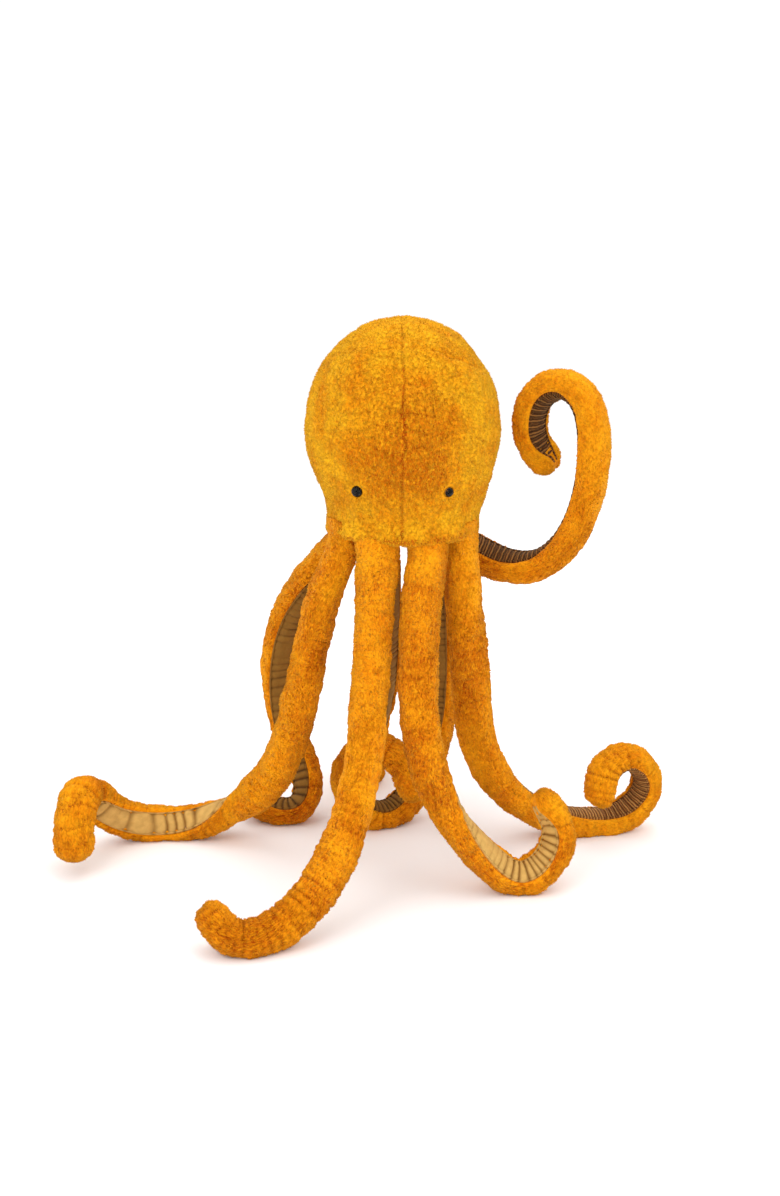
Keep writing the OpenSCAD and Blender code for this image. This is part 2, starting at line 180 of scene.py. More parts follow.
UNDERSIDES = [
    [[46, 19, 0], [36, 30, 0], [28, 40, -5], [30, 38, 5], [26, 30, 30], [10, 8, 50], [2, -30, 42],
     [5, -42, 22], [15, -40, 5], [20, -35, -25], [0, -10, -50], [0, 40, -30], [0, 50, 0]],
    [[19, 46, 0], [8, 50, 0], [2, 50, 0], [5, 50, 5], [10, 48, 10], [15, 45, 10], [10, 45, 15],
     [0, 45, 12], [10, 45, 15], [35, 30, 20]],
    [[-19, 46, 0], [-8, 50, 0], [4, 50, 0], [15, 45, 5], [28, 27, 15], [30, 2, 30], [18, -20, 38],
     [0, -28, 42], [-30, -30, 25], [-42, -30, 0], [-28, -30, -25]],
    [[-46, 19, 0], [-32, 38, 0], [-14, 48, 0], [8, 46, 5], [20, 38, 25], [20, 20, 40], [8, 5, 50],
     [0, -5, 50], [-5, -12, 50], [-42, -22, 20], [-42, -12, -25], [5, 5, -50], [40, 25, -20],
     [45, 20, 0]],
    [[5, -20, 45], [0, -22, 45], [-10, -8, 48], [-35, 12, 35], [-45, 22, 10], [-42, 25, -5],
     [-35, 12, -35], [0, -15, -45], [30, -40, -10], [30, -42, 5], [20, -40, 20]],
    [[46, -19, 0], [30, -40, -5], [20, -48, 0], [10, -48, 5], [-15, -45, 10], [-35, -30, 25],
     [-25, -15, 45], [0, -5, 50], [10, 0, 50]],
    [[19, -46, 0], [8, -50, 0], [2, -50, -15], [0, -48, -15], [0, -50, -15], [0, -50, 10],
     [0, -25, 45], [0, 8, 50], [0, 42, 28], [0, 50, -5], [0, 25, -45]],
    [[-19, -46, 0], [-12, -48, 0], [-14, -48, 0], [-15, -48, 5], [-25, -40, 15], [-35, -20, 30],
     [-10, -10, 50], [20, 0, 45], [45, 10, 10], [30, 12, -35], [0, 14, -48], [-35, 20, -25],
     [-45, 15, 0]],
]


def unit(v):
    """The same directions with a length of one."""
    return v / np.linalg.norm(v, axis=-1, keepdims=True)


def eased(points):
    """Control points of a B-spline that passes close to every point, with a spare one at each end."""
    p = np.array(points, float)
    p[1:-1] -= (p[:-2] - 2 * p[1:-1] + p[2:]) / 6
    return np.vstack([2 * p[0] - p[1], p, 2 * p[-1] - p[-2]])


def on_curve(p, u):
    """The place on a cubic B-spline; u counts the points from the start."""
    s = min(int(u), len(p) - 4)
    t = u - s
    weights = [(1 - t) ** 3, 3 * t ** 3 - 6 * t ** 2 + 4, -3 * t ** 3 + 3 * t ** 2 + 3 * t + 1, t ** 3]
    return sum(w * q for w, q in zip(weights, p[s:s + 4])) / 6


def arm_line(arm):
    """Control points of an arm's route, in metres, and of the direction its underside faces."""
    a = math.radians(ROOT_ANGLES[arm])
    root = [ROOT_RADIUS * math.sin(a), -ROOT_RADIUS * math.cos(a), ROOT_HEIGHT]
    route = (np.array([root] + ROUTES[arm]) + SHIFT) * MM
    return eased(route), eased(unit(np.array(UNDERSIDES[arm], float)))


print("points in the routes:", [len(route) + 1 for route in ROUTES])

# %% [markdown]
# ## Stations along an arm
#
# A station is a place on the route with its own directions: along the arm, across it, and towards the
# underside. The half width and half thickness shrink a little towards the tip, and some arms are a little
# slimmer in the middle or fuller at the tip.

# %% Sizes of the arms
CELL = 0.0046           # length of one cell of fabric along an arm
HALF_WIDTH, HALF_THICK, NARROWING = 0.022, 0.017, 0.002
# metres taken off the half width between root and elbow, and added to the tip
SLIM = [0.0010, 0.0018, 0.0012, 0.0006, 0, 0, -0.0022, 0]
SLIM_MIDDLE, SLIM_REACH = 2.4, 1.7
TIP_SWELL = [0.0034, 0.0012, 0, -0.0004, 0, 0, 0, 0]
NUDGE = [0, 0, 0, 0, 0, 0, 0.0022, 0]       # sideways lean of the upper part of the arm
NUDGE_MIDDLE, NUDGE_REACH = 2, 1.6


def station(arm, line, facing, u, length):
    """Middle, along, across, underside, half width, half thickness, length so far and u of one ring."""
    last, step = len(line) - 3, 1e-3
    along = unit(on_curve(line, min(u + step, last)) - on_curve(line, max(u - step, 0)))
    hint = on_curve(facing, u)
    under = unit(hint - hint.dot(along) * along)
    share = u / last
    slim = SLIM[arm] * math.exp(-((u - SLIM_MIDDLE) / SLIM_REACH) ** 4)
    swell = TIP_SWELL[arm] * min(1, max(0, (share - 0.65) / 0.17))
    lean = np.array([NUDGE[arm] * math.exp(-((u - NUDGE_MIDDLE) / NUDGE_REACH) ** 4), 0, 0])
    return [on_curve(line, u) + lean, along, np.cross(along, under), under,
            HALF_WIDTH - NARROWING * share - slim + swell * 0.25,
            HALF_THICK - NARROWING * share + swell, length, u]


print("cell length in mm:", round(CELL / MM, 1))

# %% [markdown]
# ## The top and the tip of an arm
#
# Above the first station the fur goes on up to the seam under the head and flattens there. The two side
# arms go on further, on the outside of the hem. At the tip, the arm closes in a round end.

# %% Stations of all arms
SEAM_RISE = 0.0215      # from the first station up to the seam under the head
# how far the top of each arm goes on above the hem: inside it, or outside it on the two side arms
TUCK = [0.013, 0.0015, 0.0015, 0.013, 0.004, 0.0015, 0.0015, 0.0015]
OUTSIDE = 0.01          # a longer tuck than this lies on the outside
TOP_RINGS = 5
TOP_SPREAD, TOP_WIDER, TOP_FLATTER = 0.0035, 0.12, 0.44
RAISED = 4              # this arm leaves the head sideways and ends in a round top
TIP_ANGLES = [18, 36, 52, 66, 79]


def round_top(first, k):
    angle = math.radians(80 * (k / TOP_RINGS))
    return [first[0] - first[1] * first[5] * math.sin(angle), *first[1:4],
            first[4] * math.cos(angle), first[5] * math.cos(angle), -k * CELL, 0.0]


def sewn_top(arm, first, k):
    t = min(1, k / (TOP_RINGS - 1))
    outwards = unit(first[0] * [1, 1, 0] - SHIFT * MM * [1, 1, 0])
    tuck = TUCK[arm] * (k == TOP_RINGS)
    spread = TOP_SPREAD * t * t + (0.25 * tuck if tuck > OUTSIDE else -0.25 * tuck)
    rise = np.array([0, 0, SEAM_RISE * t + tuck]) + outwards * spread
    return [first[0] + rise, unit(first[1] * (1 - t) - np.array([0, 0, t])), first[2], first[3],
            first[4] * (1 + TOP_WIDER * t), first[5] * (1 - TOP_FLATTER * t * t),
            -SEAM_RISE * t - tuck, 0.0]


def stations(arm):
    """All rings of an arm, from the top down to the tip."""
    line, facing = arm_line(arm)
    last = len(line) - 3
    fine = np.linspace(0, last, last * 40 + 1)
    dots = np.array([on_curve(line, u) for u in fine])
    run = np.concatenate([[0], np.cumsum(np.linalg.norm(np.diff(dots, axis=0), axis=1))])
    rows = [station(arm, line, facing, float(np.interp(length, run, fine)), length)
            for length in np.linspace(0, run[-1], round(run[-1] / CELL) + 1)]
    first, end = rows[0], rows[-1]
    top = [round_top(first, k) if arm == RAISED else sewn_top(arm, first, k)
           for k in range(TOP_RINGS, 0, -1)]
    tip = [[end[0] + end[1] * end[5] * math.sin(angle), *end[1:4], end[4] * math.cos(angle),
            end[5] * math.cos(angle), end[6] + end[5] * angle, end[7]]
           for angle in map(math.radians, TIP_ANGLES)]
    return top + rows + tip


ARMS = [stations(arm) for arm in range(8)]
print("rings:", [len(rows) for rows in ARMS], " lengths in mm:",
      [round(rows[-1][6] / MM) for rows in ARMS])

# %% [markdown]
# ## Rolling a sheet of fabric into a tube
#
# A sewn arm starts as a flat piece of cloth, and so does this one. The grid operator makes the sheet with
# its UV map, the sheet is rolled round the route, and its two long edges are sewn together by merging
# them. The ends are closed with the hole-filling operator. The map stays on the cloth, so that pile, folds
# and colour can follow it later.

# %% The rolled sheet
def rolled_sheet(name, points):
    """A closed tube of cloth through points[ring][column]; the last column is sewn to the first."""
    rings, columns = len(points), len(points[0])
    bm = bmesh.new()
    bm.loops.layers.uv.new("cloth")
    bmesh.ops.create_grid(bm, x_segments=columns - 1, y_segments=rings - 1, size=0.5, calc_uvs=True)
    for vert in bm.verts:
        column = round((vert.co.x + 0.5) * (columns - 1))
        ring = round((vert.co.y + 0.5) * (rings - 1))
        vert.co = points[ring][column]
    seam = [vert for vert in bm.verts if vert.is_boundary]
    bmesh.ops.remove_doubles(bm, verts=seam, dist=1e-6)
    ends = [edge for edge in bm.edges if edge.is_boundary]
    bmesh.ops.holes_fill(bm, edges=ends, sides=0)
    bmesh.ops.recalc_face_normals(bm, faces=bm.faces)
    mesh = bpy.data.meshes.new(name)
    bm.to_mesh(mesh)
    bm.free()
    made = bpy.data.objects.new(name, mesh)
    scene.collection.objects.link(made)
    return made


# %% The forms of the eight arms
FUR_CELLS, VELVET_CELLS = 22, 10
AROUND = FUR_CELLS + VELVET_CELLS
SEAM_ANGLE = 136        # where the fur starts, in degrees from the across direction
FUR_SPAN = 268
TIP_TAPER = 30          # the velvet ends in a point: degrees taken off each of its edges at the tip
EASE = 0.0004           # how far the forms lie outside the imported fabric
FLOOR_GAP = 0.0016


def twist_of(arm, share):
    """Degrees that the underside is turned about the arm, where the velvet shows more or less."""
    if arm == 0:
        return 16 * math.exp(-((share - 0.4) / 0.14) ** 2)
    if arm == 3:
        return -22 * min(1, max(0, (share - 0.6) / 0.15))
    if arm == 6:
        return 26 * min(1, max(0, (0.6 - share) / 0.15))
    return 0


def ring_angles(arm, share):
    """Angles of the columns: the fur first, then the velvet, which gets narrower near the tip."""
    taper = TIP_TAPER * min(1, max(0, (share - 0.88) / 0.12)) ** 2
    start, span = SEAM_ANGLE - taper, FUR_SPAN + 2 * taper
    fur = [start + span * k / FUR_CELLS for k in range(FUR_CELLS)]
    velvet = [start + span + (360 - span) * k / VELVET_CELLS for k in range(VELVET_CELLS + 1)]
    return np.radians(np.array(fur + velvet) + twist_of(arm, share))


def form_points(arm):
    """The rings of a form round an arm."""
    points = []
    for middle, _, across, under, half_width, half_thick, _, u in ARMS[arm]:
        angles = ring_angles(arm, u / ARMS[arm][-1][7])
        a, b = half_width + EASE, half_thick + EASE
        points.append(middle + np.outer(np.cos(angles) * a, across) + np.outer(np.sin(angles) * b, under))
    return np.array(points)


forms, form_rings = [], []
for arm in range(8):
    grid = form_points(arm)
    grid[..., 2] = np.maximum(grid[..., 2], FLOOR_GAP)
    grid[:, -1] = grid[:, 0]
    forms.append(rolled_sheet(f"form_{arm + 1}", grid))
    form_rings.append(grid)
print("rolled forms:", len(forms), " vertices:", sum(len(f.data.vertices) for f in forms))

# %% [markdown]
# ## The head's form
#
# The head is a ball that narrows to a flat, round bottom. A cube with evenly divided faces, cast to a
# sphere, has no poles, so the fur has the same grain everywhere. Each vertex is then moved down its own
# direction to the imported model's outline. The hem stands out a little over the tops of the front arms.

# %% The head's form
HEAD_CUTS = 33
SEAM_Z, BROW, CROWN = 0.368, 0.107, 0.116
HEAD_HALF, NECK_HALF = 0.103, 0.078
NECK_SHARE, BASE_SHARE = 90, 140
FLARE, FLARE_HEIGHT = 0.0078, 0.013
FORM_WIDTH, FORM_HEIGHT = 0.978, 0.992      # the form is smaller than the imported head, which it fills


def head_outline(polar):
    """Radius and height above the seam for an angle in degrees from straight up."""
    if polar < NECK_SHARE:
        return HEAD_HALF * math.sin(math.radians(polar)), BROW + CROWN * math.cos(math.radians(polar))
    if polar < BASE_SHARE:
        h = BROW * (BASE_SHARE - polar) / (BASE_SHARE - NECK_SHARE)
        return HEAD_HALF - (HEAD_HALF - NECK_HALF) * (1 + math.cos(math.pi * h / BROW)) / 2, h
    return NECK_HALF * (180 - polar) / (180 - BASE_SHARE), -0.001


def head_point(corner):
    """The place on the head's form of a point on the cube."""
    # the tangent spaces the vertices of a cube face evenly over the sphere
    even = Vector([math.tan(c * math.pi / 4) for c in corner]).normalized()
    radius, height = head_outline(math.degrees(math.acos(max(-1, min(1, even.z)))))
    flat = Vector((even.x, even.y, 0))
    flat = flat.normalized() if flat.length > 1e-9 else Vector((0, 0, 0))
    hem = FLARE * math.exp(-(height / FLARE_HEIGHT) ** 2) * min(1, radius / NECK_HALF) ** 4
    hem *= 0.55 + 0.45 * abs(flat.y)
    place = Vector((SHIFT[0] * MM + 0.001, SHIFT[1] * MM, SEAM_Z + height * FORM_HEIGHT))
    return place + flat * (radius * FORM_WIDTH + hem)


bm = bmesh.new()
bmesh.ops.create_cube(bm, size=2)
bmesh.ops.subdivide_edges(bm, edges=bm.edges, cuts=HEAD_CUTS, use_grid_fill=True)
for vert in bm.verts:
    vert.co = head_point(vert.co)
bmesh.ops.recalc_face_normals(bm, faces=bm.faces)
head_mesh = bpy.data.meshes.new("head_form")
bm.to_mesh(head_mesh)
bm.free()
head_form = bpy.data.objects.new("head_form", head_mesh)
scene.collection.objects.link(head_form)
print("head form:", len(head_mesh.vertices), "vertices")

# %% [markdown]
# ## Stuffing the forms
#
# Stuffing pushes the cloth out until it is tight, and where it has a little too much length it wrinkles.
# Blender's cloth simulation does that with air pressure inside every closed form. Twenty steps are enough.
# No point may move further than a few millimetres, so that the toy keeps its size and its arms stay clear
# of each other.

# %% The cloth simulation
STEPS = 20
CLOTH = {"quality": 4, "mass": 0.2, "use_pressure": True, "uniform_pressure_force": 4,
         "shrink_min": -0.05, "tension_stiffness": 12, "compression_stiffness": 8,
         "shear_stiffness": 4, "bending_stiffness": 0.3}
LARGEST_MOVE = {"arm": 0.0022, "head": 0.003}
LARGEST_SINK = 0.0005


def add_stuffing(made):
    cloth = made.modifiers.new("stuffing", "CLOTH")
    for setting, value in CLOTH.items():
        setattr(cloth.settings, setting, value)
    cloth.settings.effector_weights.gravity = 0
    cloth.collision_settings.use_collision = False
    cloth.point_cache.frame_start = 1
    cloth.point_cache.frame_end = STEPS


def keep_stuffed(made, deps):
    """Moves the vertices towards the simulated shape, within the largest move and the largest sink."""
    limit = LARGEST_MOVE["head" if made == head_form else "arm"]
    before = np.zeros(len(made.data.vertices) * 3)
    after, normal = before.copy(), before.copy()
    made.data.vertices.foreach_get("co", before)
    made.evaluated_get(deps).data.vertices.foreach_get("co", after)
    made.data.vertex_normals.foreach_get("vector", normal)
    normal = normal.reshape(-1, 3)
    move = (after - before).reshape(-1, 3)
    size = np.linalg.norm(move, axis=1, keepdims=True)
    move *= limit * np.tanh(size / limit) / np.maximum(size, 1e-9)
    outwards = np.sum(move * normal, axis=1, keepdims=True)
    move += normal * (np.maximum(outwards, -LARGEST_SINK) - outwards)
    made.modifiers.clear()
    made.data.vertices.foreach_set("co", (before.reshape(-1, 3) + move).ravel())
    print(made.name, "moved up to", round(float(np.abs(move).max()) / MM, 1), "mm")


for made in forms + [head_form]:
    add_stuffing(made)
for step in range(1, STEPS + 1):
    scene.frame_set(step)
deps = bpy.context.evaluated_depsgraph_get()
for made in forms + [head_form]:
    keep_stuffed(made, deps)
scene.frame_set(1)

# %% [markdown]
# ## Noise that follows the cloth
#
# Fur lies in clumps and fabric creases at every size. A small value-noise function gives a number between
# minus one and one to many points at once. It is a formula without chance, so each run gives the same toy.

# %% Noise


def noise(points, size, seed=0):
    """Smooth noise from -1 to 1 at each point; size is the width of one bump."""
    p = np.asarray(points, float) / np.asarray(size)
    cell = np.floor(p).astype(np.int64)
    f = p - cell
    f = f * f * (3 - 2 * f)
    total = np.zeros(len(p))
    for corner in itertools.product((0, 1), repeat=3):
        c = cell + corner
        h = (c[:, 0] * 73856093) ^ (c[:, 1] * 19349663) ^ (c[:, 2] * 83492791) ^ (seed * 40503 + 977)
        h = ((h ^ (h >> 13)) * 1274126177) & 0xFFFFFFFF
        h = ((h ^ (h >> 16)) * 2246822519) & 0xFFFFFFFF
        value = ((h >> 8) & 0xFFFF) / 32767.5 - 1
        total += value * np.prod(np.where(corner, f, 1 - f), axis=1)
    return total


def cloth_map(mesh):
    """For every corner of every face, the number of its vertex and its place on the cloth."""
    corner, flat = np.zeros(len(mesh.loops), np.int64), np.zeros(len(mesh.loops) * 2)
    mesh.loops.foreach_get("vertex_index", corner)
    mesh.uv_layers[0].data.foreach_get("uv", flat)
    return corner, flat.reshape(-1, 2)


def vertex_data(mesh):
    """Positions, normals and, where the mesh has a map, the cloth coordinates of every vertex."""
    co, normal = np.zeros(len(mesh.vertices) * 3), np.zeros(len(mesh.vertices) * 3)
    mesh.vertices.foreach_get("co", co)
    mesh.vertex_normals.foreach_get("vector", normal)
    uv = None
    if mesh.uv_layers:
        corner, flat = cloth_map(mesh)
        uv = np.zeros((len(mesh.vertices), 2))
        uv[corner] = flat
    return co.reshape(-1, 3), normal.reshape(-1, 3), uv




def store_number(mesh, name, values):
    """Stores a number from 0 to 1 at every vertex."""
    store = mesh.attributes.new(name, "FLOAT", "POINT")
    store.data.foreach_set("value", np.clip(values, 0, 1).astype(np.float32))


def subdivided(made, levels):
    """The piece's mesh after a Subdivision Surface modifier, as a plain mesh."""
    modifier = made.modifiers.new("smooth", "SUBSURF")
    modifier.levels = modifier.render_levels = levels
    bpy.context.view_layer.update()
    deps = bpy.context.evaluated_depsgraph_get()
    mesh = bpy.data.meshes.new_from_object(made.evaluated_get(deps))
    made.modifiers.clear()
    made.data = mesh
    return mesh


print("noise at three places:", noise([[0, 0, 0], [0.3, 0.1, 0], [0.6, 0.2, 0.5]], 0.4).round(2))

# %% [markdown]
# ## Pile
#
# Short fur is thousands of hairs that stick together in small tufts. Each tuft is a little spike, made with
# the poke operator: it puts a vertex in the middle of a face, and that vertex is pulled out and combed
# towards the tip of the arm. The number stored as pile, 0 in the hollows and 1 at the tufts, is used by the
# fur's material to paint shade into the hollows and at the roots of the hairs, and a highlight onto
# the tufts.

# %% Tufts
def add_tufts(bm, faces, comb, share, reach, seed):
    """Pokes a share of the faces and pulls their middles out by about reach, combed along comb(face)."""
    pile = bm.verts.layers.float["pile"]
    pick = Random(seed)
    chosen = [face for face in faces if pick.random() < share]
    combed = [(face.normal.copy(), comb(face)) for face in chosen]
    middles = bmesh.ops.poke(bm, faces=chosen, offset=0)["verts"]
    for vert, (normal, way) in zip(middles, combed):
        lean = 0.35 + 0.5 * pick.random()
        side = Vector((pick.uniform(-1, 1), pick.uniform(-1, 1), pick.uniform(-1, 1))) * 0.45
        pull = (normal + way * lean + side).normalized()
        vert.co += pull * reach * pick.uniform(0.5, 1.15)
        # a high pile value: the fur's material paints a highlight on the tip of the tuft
        vert[pile] = pick.uniform(0.75, 1.0)
    return len(chosen)


def finish_piece(bm, name, material):
    """Writes the bmesh into a new smooth object with its material."""
    mesh = bpy.data.meshes.new(name)
    bm.to_mesh(mesh)
    bm.free()
    mesh.polygons.foreach_set("use_smooth", [True] * len(mesh.polygons))
    made = bpy.data.objects.new(name, mesh)
    scene.collection.objects.link(made)
    mesh.materials.append(material)
    return made


# %% [markdown]
# ## Helpers for node trees
#
# Fur and velvet are built from nodes: noise, range maps and colour mixes. A few short helpers add such a
# node and link it in one line, so that the materials below read like recipes.

# %% Node helpers
def group(name, inputs, outputs):
    """An empty node group with typed sockets."""
    made = bpy.data.node_groups.new(name, "ShaderNodeTree")
    for label, kind, value in inputs:
        socket = made.interface.new_socket(label, in_out="INPUT", socket_type=kind)
        if value is not None:
            socket.default_value = value
    for label, kind in outputs:
        made.interface.new_socket(label, in_out="OUTPUT", socket_type=kind)
    return made, made.nodes.new("NodeGroupInput"), made.nodes.new("NodeGroupOutput")


def add(tree, kind, **values):
    """A new node; values are its properties, or its inputs where the name starts with in_."""
    node = tree.nodes.new(kind)
    for key, value in values.items():
        if key.startswith("in_"):
            label = key[3:].replace("_", " ")
            node.inputs[label].default_value = value
        else:
            setattr(node, key, value)
    return node


def clouds(tree, vector, size, detail, roughness=0.6, curl=0.0):
    """A noise texture whose bumps are about size metres wide; curl twists them."""
    node = add(tree, "ShaderNodeTexNoise", in_Scale=1 / size, in_Detail=detail, in_Roughness=roughness,
               in_Distortion=curl)
    tree.links.new(vector, node.inputs["Vector"])
    return node.outputs["Fac"]


def remap(tree, value, low, high, to_low=0.0, to_high=1.0):
    """Turns the range from low to high into the range from to_low to to_high."""
    node = add(tree, "ShaderNodeMapRange")
    for socket, number in zip(node.inputs[1:5], (low, high, to_low, to_high)):
        socket.default_value = number
    tree.links.new(value, node.inputs["Value"])
    return node.outputs["Result"]


def blended(tree, factor, first, second):
    """Mixes two colours; all three are sockets."""
    node = add(tree, "ShaderNodeMix", data_type="RGBA")
    tree.links.new(factor, node.inputs["Factor"])
    tree.links.new(first, node.inputs[6])
    tree.links.new(second, node.inputs[7])
    return node.outputs[2]


def product(tree, first, second):
    node = add(tree, "ShaderNodeMath", operation="MULTIPLY")
    tree.links.new(first, node.inputs[0])
    tree.links.new(second, node.inputs[1])
    return node.outputs["Value"]


def linear(rgb):
    """A colour written from 0 to 255 as the eye sees it, as the shader wants it."""
    c = [x / 255 for x in rgb]
    return tuple(x / 12.92 if x <= 0.04045 else ((x + 0.055) / 1.055) ** 2.4 for x in c) + (1,)


print("a middle grey for the shader:", round(linear((128, 128, 128))[0], 3))

# %% [markdown]
# ## The look of plush
#
# Dyed plush changes tone in patches where a hand has brushed it. Light and shade are painted into its
# colour as well: a highlight on the tips of the tufts and the crests of the curls, and shade at the roots
# and in the hollows, which makes them almost brown. That effect is shared by the head and all arms, so it
# is one node group. It takes a position, the way the hairs are combed, the pile value and how ruffled the
# place is, and gives a colour and a fine height.

# %% The plush group
COLOR, NUMBER, VECTOR = "NodeSocketColor", "NodeSocketFloat", "NodeSocketVector"
PATCH, SWIRL, CURL, HAIR = 0.03, 0.0085, 0.0034, 0.0012      # widths of the marks in the pile, in metres
plush_group, given, result = group(
    "plush", [("Position", VECTOR, None), ("Comb", VECTOR, None), ("Pile", NUMBER, 0.5),
              ("Brush", NUMBER, 0.0), ("Light", COLOR, None), ("Middle", COLOR, None),
              ("Dark", COLOR, None)],
    [("Color", COLOR), ("Height", NUMBER)])
tree = plush_group
position, comb, pile, brush, light, middle, dark = given.outputs[:7]

stretch = add(tree, "ShaderNodeVectorMath", operation="MULTIPLY")
tree.links.new(position, stretch.inputs[0])
tree.links.new(comb, stretch.inputs[1])
combed = stretch.outputs["Vector"]

# the brushed patches
rough = remap(tree, brush, 0.0, 0.8, 0.12, 1.0)
patches = remap(tree, clouds(tree, position, PATCH, 3.0), 0.4, 0.68, 0.0, 0.85)
tone = blended(tree, patches, light, middle)
tone = blended(tree, remap(tree, brush, 0.1, 0.9, 0.0, 0.8), tone, middle)
tone = blended(tree, remap(tree, brush, 0.4, 1.0, 0.0, 0.35), tone, dark)

# the swirls; painted shade at the roots of the tufts and in the hollows of the curls, and a painted
# highlight on the crests of the curls and the tips of the tufts
swirls = remap(tree, clouds(tree, combed, SWIRL, 4.0, 0.7, 1.5), 0.52, 0.72, 0.0, 0.7)
tone = blended(tree, product(tree, swirls, rough), tone, dark)
# painted shade: the fur is darker where the pile is low, in the hollows between the tufts
shaded_roots = remap(tree, pile, 0.08, 0.48, 0.8, 0.0)
tone = blended(tree, shaded_roots, tone, dark)
# painted shade in the hollows of the curls, stronger where the pile is ruffled, and a painted highlight on
# their crests
curls = clouds(tree, combed, CURL, 3.0, 0.65, 2.2)
shaded_hollows = product(tree, remap(tree, curls, 0.46, 0.33, 0.0, 0.9), rough)
tone = blended(tree, shaded_hollows, tone, dark)
tone = blended(tree, remap(tree, curls, 0.53, 0.68, 0.0, 0.8), tone, light)
# painted highlight on the tips of the tufts, where the pile is high
lit_tips = remap(tree, pile, 0.6, 1.0, 0.0, 0.5)
tone = blended(tree, lit_tips, tone, light)

# the single hairs
hairs = clouds(tree, combed, HAIR, 2.0)
speckle = add(tree, "ShaderNodeHueSaturation")
tree.links.new(tone, speckle.inputs["Color"])
tree.links.new(remap(tree, hairs, 0.3, 0.7, 0.88, 1.12), speckle.inputs["Value"])
height = add(tree, "ShaderNodeMath", operation="ADD")
tree.links.new(curls, height.inputs[0])
tree.links.new(remap(tree, hairs, 0.0, 1.0, 0.0, 0.4), height.inputs[1])
tree.links.new(speckle.outputs["Color"], result.inputs["Color"])
tree.links.new(height.outputs["Value"], result.inputs["Height"])
print("nodes in the plush group:", len(tree.nodes))

# %% [markdown]
# ## Two plushes
#
# The plush material feeds the group from the toy's own space on the head, and from the cloth's map on the
# arms, because their fabric bends with the joints. The sheen is the soft light at the edge of the pile.

# %% The plush materials
def plush(name, light, middle, dark, on_cloth):
    material, tree, surface = shader(name)
    where = add(tree, "ShaderNodeTexCoord")
    pile = add(tree, "ShaderNodeAttribute", attribute_name="pile")
    brush = add(tree, "ShaderNodeAttribute", attribute_name="brush")
    fur = add(tree, "ShaderNodeGroup", node_tree=plush_group, in_Light=linear(light),
              in_Middle=linear(middle), in_Dark=linear(dark),
              in_Comb=(1, 0.36, 1) if on_cloth else (1, 1, 0.42))
    tree.links.new(where.outputs["UV" if on_cloth else "Object"], fur.inputs["Position"])
    tree.links.new(pile.outputs["Fac"], fur.inputs["Pile"])
    tree.links.new(brush.outputs["Fac"], fur.inputs["Brush"])
    tree.links.new(fur.outputs["Color"], surface.inputs["Base Color"])
    bump = add(tree, "ShaderNodeBump", in_Strength=0.8, in_Distance=0.0016)
    tree.links.new(fur.outputs["Height"], bump.inputs["Height"])
    tree.links.new(bump.outputs["Normal"], surface.inputs["Normal"])
    surface.inputs["Roughness"].default_value = 0.85
    surface.inputs["Specular IOR Level"].default_value = 0.08
    surface.inputs["Sheen Weight"].default_value = 0.5
    surface.inputs["Sheen Roughness"].default_value = 0.4
    surface.inputs["Sheen Tint"].default_value = linear((255, 200, 80))
    return material


HEAD_FUR = plush("golden plush", (255, 185, 26), (234, 132, 2), (168, 68, 0), False)
ARM_FUR = plush("orange plush", (252, 168, 18), (228, 124, 2), (150, 54, 0), True)
print("plush:", HEAD_FUR.name, ARM_FUR.name)

# %% [markdown]
# ## One velvet, painted in four tones of light and shade
#
# The underside is one thin velvet. Its colour is given in four tones, which paint the light and shade that
# fall on the different arms. Shade is painted into its folds, which makes them darker than their crests,
# and a fine noise gives the nap. On the two arms with the tightest gathers, a wave texture paints them as
# dark bands of shade.

# %% The velvet materials
def gathered(tree, pitch):
    """Wavy bands of painted shade across the arm, one for every pitch metres, and a bump that follows them.
    """
    where = add(tree, "ShaderNodeTexCoord")
    bands = add(tree, "ShaderNodeTexWave", wave_type="BANDS", bands_direction="Y",
                in_Scale=math.pi / 10 / pitch, in_Distortion=2.2, in_Detail=2.0, in_Detail_Scale=1.2)
    tree.links.new(where.outputs["UV"], bands.inputs["Vector"])
    ridge = add(tree, "ShaderNodeBump", in_Strength=0.9, in_Distance=0.0016)
    tree.links.new(bands.outputs["Fac"], ridge.inputs["Height"])
    return remap(tree, bands.outputs["Fac"], 0.1, 0.75, 0.9, 0.0), ridge.outputs["Normal"]


